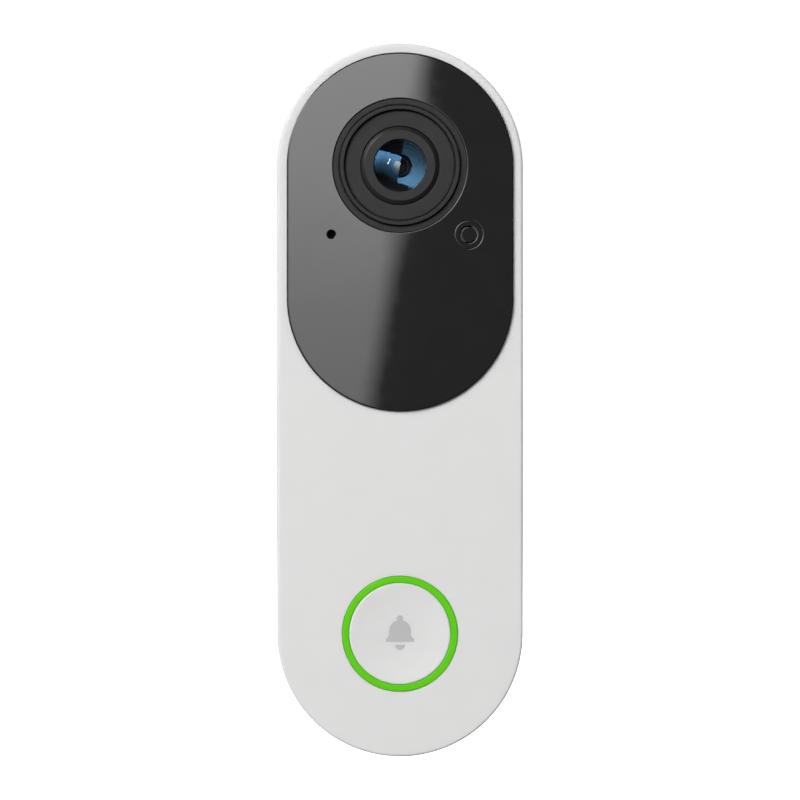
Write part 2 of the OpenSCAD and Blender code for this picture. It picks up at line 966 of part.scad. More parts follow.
module back_cover() {
    cover_r = rear_r - 0.1;
    head_hole_r = 2;
    head_deep = 1.1;
    stand_off_r = 2;
    stand_off_floor = 6.6;
    label_u = -34;
    label_w = 20;
    label_h = 14;
    color(pale_grey) stand() difference() {
        union() {
            pill_plate(cover_r, -end_c, end_c, cover_back, cover_front);
            four_spots(power_post_x, power_post_u)
                disc(stand_off_r, cover_front - 0.1, power_back);
        }
        four_spots(boss_x, boss_u) {
            disc(screw_r, cover_back - joint, cover_front + joint);
            disc(head_hole_r, cover_back - joint, cover_back + head_deep);
        }
        four_spots(power_post_x, power_post_u)
            disc(small_screw_r, stand_off_floor, power_back + joint);
        both_sides(terminal_x, 0) disc(insert_r, cover_back - joint, cover_front + joint);
        spot(reset_x, reset_u) disc(reset_r, cover_back - joint, cover_front + joint);
        spot(0, label_u) block(label_w, label_h, cover_back - joint, cover_back + 0.2);
    }
}

module cover_seal() {
    color(seal_grey) stand()
        pill_ring(rear_r - 0.15, inner_r + 0.15, -end_c, end_c, cover_front, cover_step);
}

module housing_screws() {
    head_r = 1.9;
    head_t = 1.1;
    screw_end = 14;
    color(steel) stand() four_spots(boss_x, boss_u) difference() {
        union() {
            disc(head_r, cover_back, cover_back + head_t);
            disc(screw_r - fit, cover_back + head_t - 0.1, screw_end);
        }
        disc_cross(cover_back, 0.6, 2.2, 0.5);
    }
}

module reset_button() {
    collar_r = 2.2;
    collar_low = 7.52;
    collar_top = 8;
    tip_r = 1;
    color(dark_grey) stand() spot(reset_x, reset_u) {
        disc(reset_r - 0.05, cover_back - 0.3, collar_low + 0.08);
        disc(collar_r, collar_low, collar_top);
        disc(tip_r, collar_top - 0.1, power_back - reset_travel - 0.1);
    }
}

module wall_plate() {
    plate_r = rear_r - 0.35;
    web = 2;
    rim_w = 1.4;
    rim_top = cover_back - 0.05;
    tongue_w = 5.6;
    tongue_top = end_c + rear_r + 0.65;
    lug_w = 6.8;
    lug_reach = 5.4;
    sink_r = 4;
    sink_deep = 1.2;
    color(dark_grey) stand() difference() {
        union() {
            pill_plate(plate_r, -end_c, end_c, 0, web);
            pill_ring(plate_r, plate_r - rim_w, -end_c, end_c, web - joint, rim_top);
            translate([-tongue_w / 2, end_c + plate_r - 1, 2.2])
                cube([tongue_w, tongue_top - end_c - plate_r + 1, 1.2]);
            translate([-lug_w / 2, -end_c - plate_r + 0.4, web - joint])
                cube([lug_w, lug_reach, rim_top - web + joint]);
            for (side = [-1, 1]) spot(0, side * screw_spacing / 2)
                disc(sink_r + 1, web - joint, web + 1);
        }
        translate([-wire_window_w / 2, -wire_window_h / 2, -joint])
            cube([wire_window_w, wire_window_h, web + 2 * joint]);
        for (side = [-1, 1]) spot(0, side * screw_spacing / 2) {
            disc(screw_hole_r, -joint, web + 2);
            translate([0, 0, web]) cylinder(r1 = screw_hole_r, r2 = sink_r, h = sink_deep);
        }
        upright(lock_r, -end_c - plate_r - joint, -end_c - plate_r + lug_reach + 1,
            lock_depth);
    }
}

module security_screw() {
    low = -end_c - body_r;
    screw_len = 7.2;
    key_r = 1;
    key_deep = 0.7;
    color(steel) stand() difference() {
        union() {
            upright(lock_head_r, low + 0.1, low + 1, lock_depth);
            upright(lock_r - fit, low + 0.9, low + screw_len, lock_depth);
        }
        translate([0, low, lock_depth]) rotate([-90, 0, 0])
            cylinder(r = key_r, h = key_deep, $fn = 6);
    }
}

front_shell();
front_panel();
panel_tape();
camera_bezel();
lens_retainer();
front_lens();
second_lens();
lens_barrel();
lens_holder();
ir_cut_filter();
ir_cut_coil();
image_sensor();
camera_board();
camera_seal();
camera_screws();
sensor_board();
ir_leds();
microphone();
mic_boot();
light_sensor();
sensor_window();
sensor_bezel();
light_ring();
ring_gasket();
push_button();
bell_symbol();
button_bumper();
button_board();
ring_leds();
button_switch();
switch_plunger();
speaker_frame();
speaker_cone();
speaker_magnet();
speaker_gasket();
speaker_mesh();
speaker_leads();
main_board();
board_screws();
processor();
shield_can();
heat_spreader();
radio_module();
board_connector();
camera_flex();
button_flex();
power_board();
board_header();
supercapacitor();
power_choke();
rectifier();
terminal_inserts();
terminal_washers();
terminal_screws();
back_cover();
cover_seal();
housing_screws();
reset_button();
wall_plate();
security_screw();
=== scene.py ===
import json
import math

import bmesh
import bpy
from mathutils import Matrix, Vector


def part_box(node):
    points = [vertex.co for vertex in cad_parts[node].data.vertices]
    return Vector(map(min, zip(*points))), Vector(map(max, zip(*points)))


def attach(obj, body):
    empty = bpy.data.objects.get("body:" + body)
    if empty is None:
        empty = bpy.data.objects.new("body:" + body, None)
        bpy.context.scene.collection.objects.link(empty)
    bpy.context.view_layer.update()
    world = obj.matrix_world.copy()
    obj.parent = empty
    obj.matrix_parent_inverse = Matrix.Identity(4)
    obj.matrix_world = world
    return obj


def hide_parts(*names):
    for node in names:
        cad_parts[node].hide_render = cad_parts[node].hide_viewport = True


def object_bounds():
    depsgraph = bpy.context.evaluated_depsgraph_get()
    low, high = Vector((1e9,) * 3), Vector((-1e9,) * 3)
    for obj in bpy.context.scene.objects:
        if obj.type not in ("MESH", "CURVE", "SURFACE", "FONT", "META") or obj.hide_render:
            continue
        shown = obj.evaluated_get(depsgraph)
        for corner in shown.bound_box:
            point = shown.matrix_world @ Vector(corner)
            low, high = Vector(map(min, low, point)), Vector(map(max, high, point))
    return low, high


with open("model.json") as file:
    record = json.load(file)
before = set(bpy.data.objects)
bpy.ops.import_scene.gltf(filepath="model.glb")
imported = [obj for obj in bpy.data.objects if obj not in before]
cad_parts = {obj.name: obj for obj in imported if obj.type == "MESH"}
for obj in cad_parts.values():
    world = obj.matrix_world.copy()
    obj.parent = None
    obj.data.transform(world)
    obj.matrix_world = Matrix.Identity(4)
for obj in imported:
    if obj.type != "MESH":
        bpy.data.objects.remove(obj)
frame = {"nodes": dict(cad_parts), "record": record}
cad_bounds = [list(corner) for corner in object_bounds()]
MM = 0.001


# ---------------------------------------------------------------- places, in mm
def span(node):
    """The CAD node's box in mm: x0, x1, z0, z1, and its distances from the wall, back and front."""
    low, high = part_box(node)
    return {
        "x0": low[0] / MM, "x1": high[0] / MM,
        "z0": low[2] / MM, "z1": high[2] / MM,
        "back": -high[1] / MM, "front": -low[1] / MM,
        "x": (low[0] + high[0]) / 2 / MM, "z": (low[2] + high[2]) / 2 / MM,
        "r": (high[0] - low[0]) / 2 / MM,
    }


shell = span("front_shell")
panel = span("front_panel")
bezel = span("camera_bezel")
retainer = span("lens_retainer")
lens = span("front_lens")
ring = span("light_ring")
button = span("push_button")
symbol = span("bell_symbol")
window = span("sensor_window")
window_rim = span("sensor_bezel")
mic = span("mic_boot")
cam_x, cam_z = bezel["x"], bezel["z"]


def place(x, u, d):
    """A point x to the right, u up and d out from the wall, from mm to metres."""
    return (x * MM, -d * MM, u * MM)


# ---------------------------------------------------------------- building meshes
def arc(x, y, r, start, end, steps=8):
    """Points on an arc of a half section, angles in degrees, with a fine first and last step so
    that its shading runs into the flat faces beside it."""
    shares = [0.0, 0.02] + [i / steps for i in range(1, steps)] + [0.98, 1.0]
    angles = [math.radians(start + (end - start) * s) for s in shares]
    return [(x + r * math.cos(a), y + r * math.sin(a)) for a in angles]


def circle_stations(x, u, count=160):
    """Points to sweep round: a centre and an angle for each."""
    return [(x, u, 2 * math.pi * i / count) for i in range(count)]


def pill_stations(low, high, count=96):
    """The same for a pill shape whose two end centres are at heights low and high."""
    upper = [(0, high, math.pi * i / count) for i in range(count + 1)]
    left = [(0, u, math.pi) for u in (high - 0.2, (low + high) / 2, low + 0.2)]
    lower = [(0, low, math.pi + math.pi * i / count) for i in range(count + 1)]
    right = [(0, u, 0) for u in (low + 0.2, (low + high) / 2, high - 0.2)]
    return upper + left + lower + right


class Piece:
    """A mesh built ring by ring round a circle or a pill outline."""

    def __init__(self):
        self.bm = bmesh.new()
        self.flat = []

    def ring(self, stations, r, d):
        """A ring of vertices r outside the stations at depth d, or one vertex if r is 0."""
        if r == 0:
            x, u, _ = stations[0]
            return [self.bm.verts.new(place(x, u, d))]
        return [self.bm.verts.new(place(x + r * math.cos(a), u + r * math.sin(a), d))
                for x, u, a in stations]

    def skin(self, a, b):
        """Joins two rings, or a ring and a point, with faces."""
        n = max(len(a), len(b))
        if len(a) == 1 or len(b) == 1:
            tip, rim = (a[0], b) if len(a) == 1 else (b[0], a)
            return [self.bm.faces.new((rim[i], rim[(i + 1) % n], tip)) for i in range(n)]
        return [self.bm.faces.new((a[i], a[(i + 1) % n], b[(i + 1) % n], b[i])) for i in range(n)]

    def sweep(self, stations, profile, closed=False):
        """Skins a list of (radius, depth) round the stations and returns its end rings."""
        rings = [self.ring(stations, r, d) for r, d in profile]
        for a, b in zip(rings, rings[1:]):
            self.skin(a, b)
        if closed:
            self.skin(rings[-1], rings[0])
        return rings[0], rings[-1]

    def web(self, *rings):
        """Fills the flat face bounded by the first ring, less the other rings."""
        edges = []
        for verts in rings:
            for i, v in enumerate(verts):
                edges.append(self.bm.edges.get((v, verts[(i + 1) % len(verts)]))
                             or self.bm.edges.new((v, verts[(i + 1) % len(verts)])))
        made = bmesh.ops.triangle_fill(self.bm, edges=edges, use_beauty=True, normal=(0, -1, 0))
        self.flat += [f for f in made["geom"] if isinstance(f, bmesh.types.BMFace)]

    def finish(self, name, sharp=38, body="housing", replaces=(), slot=None, material=None):
        """Makes the object, smooth up to the sharp angle, and hands it to its body."""
        bmesh.ops.recalc_face_normals(self.bm, faces=self.bm.faces[:])
        for f in self.bm.faces:
            f.smooth = True
        for f in self.flat:
            if f.is_valid:
                f.smooth = False
        mesh = bpy.data.meshes.new(name)
        self.bm.to_mesh(mesh)
        self.bm.free()
        mesh.set_sharp_from_angle(angle=math.radians(sharp))
        obj = bpy.data.objects.new(name, mesh)
        bpy.context.scene.collection.objects.link(obj)
        if material:
            mesh.materials.append(material)
        if replaces:
            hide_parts(*replaces)
        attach(obj, body)
        return obj


def lathe(name, x, u, profile, closed=True, count=160, **kw):
    """A round piece turned from a profile of (radius, depth)."""
    piece = Piece()
    piece.sweep(circle_stations(x, u, count), profile, closed)
    return piece.finish(name, **kw)


# ---------------------------------------------------------------- materials
class Look:
    """A procedural material: a principled surface whose grain, tone and roughness vary in place."""

    def __init__(self, name, colour, rough, metallic=0.0, ior=1.48):
        self.mat = bpy.data.materials.new(name)
        self.mat.use_nodes = True
        self.tree = self.mat.node_tree
        self.bsdf = self.tree.nodes["Principled BSDF"]
        self.colour = colour
        self.rough = rough
        self.put("Base Color", (*colour, 1))
        self.put("Roughness", rough)
        self.put("Metallic", metallic)
        self.put("IOR", ior)
        coords = self.node("ShaderNodeTexCoord")
        self.where = coords.outputs["Object"]
        self.height = None

    def put(self, socket, value):
        self.bsdf.inputs[socket].default_value = value
        return self

    def node(self, kind, **settings):
        made = self.tree.nodes.new(kind)
        for key, value in settings.items():
            if hasattr(made, key):
                setattr(made, key, value)
            else:
                made.inputs[key].default_value = value
        return made

    def link(self, a, b):
        self.tree.links.new(a, b)

    def stretched(self, scale):
        mapping = self.node("ShaderNodeMapping")
        mapping.inputs["Scale"].default_value = scale
        self.link(self.where, mapping.inputs["Vector"])
        return mapping.outputs["Vector"]

    def noise(self, size_mm, detail=3.0, rough=0.55, stretch=None):
        tex = self.node("ShaderNodeTexNoise")
        tex.inputs["Scale"].default_value = 1000.0 / size_mm
        tex.inputs["Detail"].default_value = detail
        tex.inputs["Roughness"].default_value = rough
        self.link(self.stretched(stretch) if stretch else self.where, tex.inputs["Vector"])
        return tex.outputs["Fac"]

    def ranged(self, value, low, high, from_low=0.3, from_high=0.7):
        ranged = self.node("ShaderNodeMapRange")
        for key, number in (("From Min", from_low), ("From Max", from_high),
                            ("To Min", low), ("To Max", high)):
            ranged.inputs[key].default_value = number
        self.link(value, ranged.inputs["Value"])
        return ranged.outputs["Result"]

    def vary_rough(self, size_mm, by, **kw):
        self.link(self.ranged(self.noise(size_mm, **kw), self.rough - by, self.rough + by),
                  self.bsdf.inputs["Roughness"])
        return self

    def vary_tone(self, size_mm, other, share=1.0, **kw):
        mix = self.node("ShaderNodeMix", data_type="RGBA")
        for entry in mix.inputs:
            if entry.type == "RGBA" and entry.name == "A":
                entry.default_value = (*self.colour, 1)
            if entry.type == "RGBA" and entry.name == "B":
                entry.default_value = (*other, 1)
        self.link(self.ranged(self.noise(size_mm, **kw), 0.0, share), mix.inputs["Factor"])
        out = [o for o in mix.outputs if o.type == "RGBA"][0]
        self.link(out, self.bsdf.inputs["Base Color"])
        return self

    def bump(self, height, depth_mm, strength=1.0):
        bump = self.node("ShaderNodeBump")
        bump.inputs["Strength"].default_value = strength
        bump.inputs["Distance"].default_value = depth_mm * MM
        self.link(height, bump.inputs["Height"])
        if self.height is not None:
            self.link(self.height, bump.inputs["Normal"])
        self.height = bump.outputs["Normal"]
        self.link(self.height, self.bsdf.inputs["Normal"])
        return self

    def grain(self, size_mm, depth_mm, strength=1.0, **kw):
        return self.bump(self.noise(size_mm, **kw), depth_mm, strength)


def shade(colour, factor):
    return tuple(min(1.0, c * factor) for c in colour)


WHITE = (0.79, 0.79, 0.785)


def moulded(name, colour, rough, grain_mm=0.22, depth_mm=0.004, by=0.05, tone=0.97, ior=1.48,
            shine=0.5):
    look = Look(name, colour, rough, ior=ior).put("Specular IOR Level", shine)
    look.vary_tone(6.0, shade(colour, tone)).vary_rough(2.4, by)
    return look.grain(grain_mm, depth_mm)


def milky(name, rough, **kw):
    """White plastic with a little light scattered below its surface."""
    look = moulded(name, WHITE, rough, grain_mm=0.25, tone=0.985, shine=0.25, **kw)
    look.put("Subsurface Weight", 0.5).put("Subsurface Radius", (1.0, 1.0, 0.95))
    return look.put("Subsurface Scale", 0.0011)


def metal(name, colour, rough, stretch=(1, 1, 14), by=0.07, depth_mm=0.003):
    look = Look(name, colour, rough, metallic=1.0)
    look.vary_tone(3.0, shade(colour, 0.85)).vary_rough(0.9, by, stretch=stretch)
    return look.grain(0.35, depth_mm, stretch=stretch)


def circuit(name):
    """Solder mask over copper tracks: raised straight tracks, pads and a fine cloth of glass."""
    look = Look(name, (0.012, 0.105, 0.050), 0.34)
    tracks = look.node("ShaderNodeTexBrick", offset=0.37, squash=0.6)
    tracks.inputs["Scale"].default_value = 260.0
    tracks.inputs["Mortar Size"].default_value = 0.018
    tracks.inputs["Color1"].default_value = (0.010, 0.095, 0.045, 1)
    tracks.inputs["Color2"].default_value = (0.014, 0.125, 0.060, 1)
    tracks.inputs["Mortar"].default_value = (0.028, 0.190, 0.085, 1)
    turned = look.node("ShaderNodeMapping")
    turned.inputs["Rotation"].default_value = (math.radians(90), 0, 0)
    look.link(look.where, turned.inputs["Vector"])
    look.link(turned.outputs["Vector"], tracks.inputs["Vector"])
    look.link(tracks.outputs["Color"], look.bsdf.inputs["Base Color"])
    look.vary_rough(1.8, 0.06)
    look.bump(tracks.outputs["Fac"], 0.02)
    return look.grain(0.3, 0.003)


def woven(name, colour):
    look = Look(name, colour, 0.8)
    for stretch in ((2600, 0, 0), (0, 2600, 2600)):
        wave = look.node("ShaderNodeTexWave")
        wave.inputs["Scale"].default_value = 1.0
        wave.inputs["Distortion"].default_value = 0.4
        look.link(look.stretched(stretch), wave.inputs["Vector"])
        look.bump(wave.outputs["Fac"], 0.05)
    return look.vary_tone(0.6, shade(colour, 0.6)).vary_rough(1.0, 0.08)


looks = {
    "white_shell": milky("WhiteShell", 0.46, depth_mm=0.0014),
    "white_button": milky("WhiteButton", 0.42, depth_mm=0.0012),
    "gloss_panel": moulded("GlossPanel", (0.0198, 0.0198, 0.0200), 0.03, grain_mm=14.0,
                           depth_mm=0.00002, by=0.01, tone=0.9, ior=1.49),
    "satin_bezel": moulded("SatinBezel", (0.022, 0.022, 0.0225), 0.4, grain_mm=0.18,
                           depth_mm=0.0018, by=0.04, shine=0.18),
    "black_plastic": moulded("BlackPlastic", (0.018, 0.018, 0.019), 0.5),
    "led_epoxy": moulded("LedEpoxy", (0.03, 0.015, 0.04), 0.12, grain_mm=1.0, depth_mm=0.002),
    "led_body": moulded("LedBody", (0.78, 0.77, 0.70), 0.35),
    "symbol_print": moulded("SymbolPrint", (0.52, 0.52, 0.52), 0.5, grain_mm=0.3, depth_mm=0.002,
                            shine=0.25),
    "seal_rubber": moulded("SealRubber", (0.03, 0.03, 0.031), 0.7, grain_mm=0.4, depth_mm=0.01),
    "foam_black": moulded("FoamBlack", (0.02, 0.02, 0.021), 0.9, grain_mm=0.35, depth_mm=0.05),
    "tape": moulded("FoamTape", (0.025, 0.025, 0.025), 0.85, grain_mm=0.3, depth_mm=0.03),
    "board": circuit("CircuitBoard"),
    "chip": moulded("ChipPackage", (0.018, 0.018, 0.019), 0.45, grain_mm=0.12, depth_mm=0.006),
    "sensor_chip": moulded("SensorChip", (0.03, 0.05, 0.08), 0.12, grain_mm=0.05, depth_mm=0.002),
    "steel": metal("ZincSteel", (0.56, 0.57, 0.58), 0.32),
    "tin_can": metal("TinSheet", (0.66, 0.66, 0.64), 0.30, stretch=(1, 1, 6)),
    "magnet": metal("NickelMagnet", (0.55, 0.54, 0.50), 0.22, stretch=(3, 3, 3)),
    "heat_plate": metal("AluminiumPlate", (0.78, 0.79, 0.80), 0.38, stretch=(1, 1, 20)),
    "copper_coil": metal("CopperCoil", (0.72, 0.30, 0.12), 0.28, stretch=(1, 30, 1)),
    "brass": metal("TurnedBrass", (0.78, 0.57, 0.25), 0.25, stretch=(1, 24, 1)),
    "capacitor": moulded("CapacitorSleeve", (0.02, 0.03, 0.06), 0.25, grain_mm=0.8, depth_mm=0.006),
    "flex": moulded("FlexStrip", (0.42, 0.17, 0.03), 0.3, grain_mm=0.9, depth_mm=0.01),
    "wire": moulded("WireSleeve", (0.25, 0.012, 0.012), 0.4, grain_mm=0.4, depth_mm=0.006),
    "cone_paper": moulded("ConeFilm", (0.03, 0.03, 0.03), 0.55, grain_mm=0.25, depth_mm=0.02),
    "mesh_cloth": woven("SpeakerCloth", (0.03, 0.03, 0.031)),
    "grey_cover": moulded("GreyCover", (0.30, 0.30, 0.31), 0.55, grain_mm=0.35, depth_mm=0.02),
    "plate_plastic": moulded("PlatePlastic", (0.045, 0.045, 0.047), 0.55, grain_mm=0.35,
                             depth_mm=0.025),
}


def coated(name, tint, rough=0.015, clear=0.92):
    """A coated lens face: it lets light straight through and mirrors a little of it, tinted."""
    look = Look(name, tint, rough)
    gloss = look.node("ShaderNodeBsdfGlossy")
    gloss.inputs["Color"].default_value = (*tint, 1)
    look.link(look.ranged(look.noise(1.5), rough * 0.6, rough * 1.4), gloss.inputs["Roughness"])
    through = look.node("ShaderNodeBsdfTransparent")
    through.inputs["Color"].default_value = (clear, clear, clear, 1)
    both = look.node("ShaderNodeAddShader")
    look.link(through.outputs["BSDF"], both.inputs[0])
    look.link(gloss.outputs["BSDF"], both.inputs[1])
    look.link(both.outputs["Shader"], look.tree.nodes["Material Output"].inputs["Surface"])
    look.tree.nodes.remove(look.bsdf)
    return look.mat


def glowing(name, colour, strength, rough=0.3):
    """A lit light guide: milky plastic whose glow varies a little from place to place."""
    look = moulded(name, colour, rough, grain_mm=0.5, depth_mm=0.002, shine=0.1)
    look.put("Emission Color", (*colour, 1)).put("Emission Strength", strength)
    look.link(look.ranged(look.noise(2.2, detail=1.0), strength * 0.93, strength * 1.07),
              look.bsdf.inputs["Emission Strength"])
    return look.mat


dome_glass = coated("DomeCoating", (0.011, 0.029, 0.055))
back_glass = coated("BackCoating", (0.011, 0.032, 0.055))
inner_glass = coated("InnerCoating", (0.042, 0.042, 0.018), clear=0.8)
deep_black = moulded("DeepBlack", (0.0055, 0.0052, 0.0048), 0.5, grain_mm=0.3, depth_mm=0.002,
                     shine=0.1).mat
navy_rim = moulded("NavyRim", (0.002, 0.003, 0.011), 0.4, grain_mm=0.3, depth_mm=0.001,
                   shine=0.06).mat
orange_rim = metal("CopperRim", (0.10, 0.052, 0.040), 0.3, stretch=(3, 3, 3)).mat
ring_glow = glowing("RingGlow", (0.100, 0.50, 0.008), 0.24)
satin = looks["satin_bezel"].mat
gloss = looks["gloss_panel"].mat

# ---------------------------------------------------------------- finishes on the CAD nodes
slot_of = {s["node"]: s["material_slot"] for s in frame["record"]["subparts"]}
for node_name, obj in frame["nodes"].items():
    look = looks.get(slot_of[node_name])
    obj.data.materials.clear()
    obj.data.materials.append(look.mat if look else inner_glass)

# ---------------------------------------------------------------- front panel
def eased(r, front, outward, radius=0.3, tilt=34):
    """A shallow round between a wall at radius r and the front face: on a hole (outward -1) or on
    a rim (outward 1), from the wall to the face."""
    centre = r - outward * radius * math.sin(math.radians(tilt))
    return arc(centre, front - radius, radius, 90 - outward * tilt, 90, 6)


def hole(piece, stations, r, front, back):
    """A hole's wall with a small round at its front edge; returns its rings at the two faces."""
    profile = [(r, back)] + eased(r, front, -1)
    low, high = piece.sweep(stations, profile)
    return high, low


RIM_ROUND, RIM_TILT = 0.45, 48
CAMERA_HOLE_R, MIC_HOLE_R = 12.41, 0.78
WINDOW_HOLE_R = window_rim["r"] + 0.04
piece = Piece()
outline = pill_stations(panel["z0"] + panel["r"], panel["z1"] - panel["r"])
rim_profile = [(panel["r"], panel["back"])]
rim_profile += eased(panel["r"], panel["front"], 1, RIM_ROUND, RIM_TILT)
back_rim, front_rim = piece.sweep(outline, rim_profile)
openings = [
    hole(piece, stations, r, panel["front"], panel["back"])
    for stations, r in ((circle_stations(cam_x, cam_z), CAMERA_HOLE_R),
                        (circle_stations(mic["x"], mic["z"], 64), MIC_HOLE_R),
                        (circle_stations(window["x"], window["z"], 96), WINDOW_HOLE_R))]
piece.web(front_rim, *[o[0] for o in openings])
piece.web(back_rim, *[o[1] for o in openings])
piece.finish("front_panel_gloss", replaces=["front_panel"], slot="gloss_panel", material=gloss)

# The microphone's boot, with a black cloth across its hole
BOOT_BORE_R, BOOT_NECK_R, BOOT_STEP_D = 0.7, 1.48, 21.4
boot_edge = 0.05
cloth = mic["front"] - 1.3
lathe("mic_boot_turned", mic["x"], mic["z"],
      [(BOOT_BORE_R, mic["back"]), (mic["r"], mic["back"]), (mic["r"], BOOT_STEP_D),
       (BOOT_NECK_R, BOOT_STEP_D), (BOOT_NECK_R, mic["front"]),
       (BOOT_BORE_R + 0.02, mic["front"]), (BOOT_BORE_R, mic["front"] - boot_edge),
       (BOOT_BORE_R, cloth), (0, cloth + 0.02)],
      closed=False, count=64, replaces=["mic_boot"], slot="seal_rubber", material=deep_black,
      sharp=30)

# ---------------------------------------------------------------- camera bezel
floor_d = 24.5
flange_d = panel["front"] - 0.2
crest_d = bezel["front"] - 0.002
seat_r, flange_r = 7.3, 12.4
lip_in, lip_out = 10.15, 11.25
crest_r, crest_side = 0.12, 0.3
groove_w, groove_deep = 0.15, 0.35
small_r, edge_r = 0.1, 0.04
bezel_profile = (
    [(seat_r, bezel["back"]), (bezel["r"], bezel["back"]), (bezel["r"], panel["back"]),
     (flange_r, panel["back"])]
    + arc(flange_r - small_r, flange_d - small_r, small_r, 0, 90, 4)
    + arc(lip_out + groove_w + edge_r, flange_d - edge_r, edge_r, 90, 180, 3)
    + [(lip_out + groove_w, flange_d - groove_deep), (lip_out, flange_d - groove_deep),
       (lip_out, flange_d)]
    + arc(lip_out - crest_side, crest_d - crest_r, crest_r, 10, 90, 5)
    + arc(lip_in + crest_side, crest_d - crest_r, crest_r, 90, 170, 5)
    + [(lip_in, floor_d), (lip_in, floor_d - groove_deep),
       (lip_in - groove_w, floor_d - groove_deep)]
    + arc(lip_in - groove_w - edge_r, floor_d - edge_r, edge_r, 0, 90, 3)
    + arc(seat_r + small_r, floor_d - small_r, small_r, 90, 180, 4)
)
lathe("camera_bezel_turned", cam_x, cam_z, bezel_profile, count=220,
      replaces=["camera_bezel"], slot="satin_bezel", material=satin, sharp=30)

# ---------------------------------------------------------------- lens retainer
# Its front face is ringed by a wide chamfer, which starts just below the bezel's floor.
top_d = retainer["front"]
top_r, lens_hole_r, bore_r, seat_d = 6.5, lens["r"] + 0.01, 6.05, 23.5
chamfer_foot = floor_d - 0.1
retainer_profile = [
    (bore_r, retainer["back"]), (retainer["r"], retainer["back"]), (retainer["r"], chamfer_foot),
    (top_r + 0.06, top_d - 0.04), (top_r - 0.02, top_d), (lens_hole_r + 0.08, top_d),
    (lens_hole_r, top_d - 0.06), (lens_hole_r, seat_d), (bore_r, seat_d),
]
retainer_piece = lathe("lens_retainer_turned", cam_x, cam_z, retainer_profile, count=200,
                       replaces=["lens_retainer"], slot="satin_bezel", material=satin, sharp=20)

# ---------------------------------------------------------------- lenses
# The front lens's two balls, then the small second lens in its cell, with a bead round the lens
DOME_R, BACK_R, BACK_D = 11.0, 21.0, 23.64
PUPIL_R, PUPIL_BALL, CELL_R, CELL_D = 1.5, 5.0, 2.2, 22.0
BEAD_R, BEAD_POINTS = 0.055, 12
lens_rim = lens["r"] - 0.02


def cap_profile(r_edge, radius, top, sign, steps=24, start=0.0):
    """Half section of a ball's cap: depth falls (sign -1) or rises (sign 1) towards its edge."""
    points = []
    for i in range(steps + 1):
        r = start + (r_edge - start) * i / steps
        points.append((r, top + sign * (radius - math.sqrt(radius * radius - r * r))))
    return points


dome = cap_profile(lens_rim, DOME_R, lens["front"], -1)
dome_piece = lathe("front_lens_dome", cam_x, cam_z, dome, closed=False, count=200,
                   replaces=["front_lens"], slot="lens_glass", material=dome_glass, sharp=60)
lathe("front_lens_back", cam_x, cam_z, cap_profile(lens_rim, BACK_R, BACK_D, 1, start=CELL_R),
      closed=False, count=200, replaces=["front_lens"], slot="lens_glass", material=back_glass,
      sharp=60)

# The barrel's stepped well, seen through the lens
steps = [(4.83, 24.1), (4.5, 24.05), (4.4, 23.3), (3.6, 22.95), (3.5, 22.6), (2.75, 22.3),
         (2.42, 22.26), (2.38, 22.1), (2.22, 22.06), (2.2, 21.75), (1.98, 21.72), (1.96, 21.5),
         (1.72, 21.48), (1.7, 20.9), (1.55, 20.6), (1.1, 20.2), (0, 20.1)]
outside = [(0, 14.9), (4.5, 14.9), (4.5, 17.0), (6.0, 17.0), (6.0, 23.3), (4.83, 23.3)]
lathe("lens_barrel_well", cam_x, cam_z, outside + steps, closed=False, count=160,
      replaces=["lens_barrel"], slot="black_plastic", material=deep_black, sharp=30)
lathe("second_lens_face", cam_x, cam_z, cap_profile(PUPIL_R, PUPIL_BALL, CELL_D, -1), closed=False,
      count=120, replaces=["second_lens"], slot="lens_glass", material=inner_glass, sharp=60)
lathe("second_lens_cell", cam_x, cam_z,
      [(CELL_R, CELL_D - 0.1), (CELL_R, CELL_D + 0.42), (CELL_R - 0.08, CELL_D + 0.46),
       (CELL_R - 0.2, CELL_D + 0.3), (PUPIL_R + 0.06, CELL_D + 0.12), (PUPIL_R, CELL_D),
       (PUPIL_R, CELL_D - 0.1)],
      count=120, replaces=["second_lens"], slot="lens_glass", material=navy_rim, sharp=25)
bead_angles = [t * 2 * math.pi / BEAD_POINTS for t in range(BEAD_POINTS)]
bead_profile = [(PUPIL_R + BEAD_R * math.cos(a), CELL_D + 0.1 + BEAD_R * math.sin(a))
                for a in bead_angles]
lathe("second_lens_rim", cam_x, cam_z, bead_profile, count=96,
      slot="lens_glass", material=orange_rim, sharp=60)

# ---------------------------------------------------------------- light sensor
rim_out, rim_in, pane_r = window_rim["r"], 1.62, 1.43
lathe("sensor_bezel_turned", window["x"], window["z"],
      [(rim_in, window_rim["back"]), (rim_out, window_rim["back"])]
      + eased(rim_out, window_rim["front"], 1)
      + eased(rim_in, window_rim["front"], -1)[::-1],
      count=120, replaces=["sensor_bezel"], slot="gloss_panel", material=gloss, sharp=30)
lathe("sensor_window_turned", window["x"], window["z"],
      [(0, window["back"]), (window["r"], window["back"]), (window["r"], panel["back"]),
       (pane_r, panel["back"])] + eased(pane_r, window["front"], 1) + [(0, window["front"])],
      closed=False, count=120, replaces=["sensor_window"], slot="gloss_panel", material=gloss,
      sharp=30)

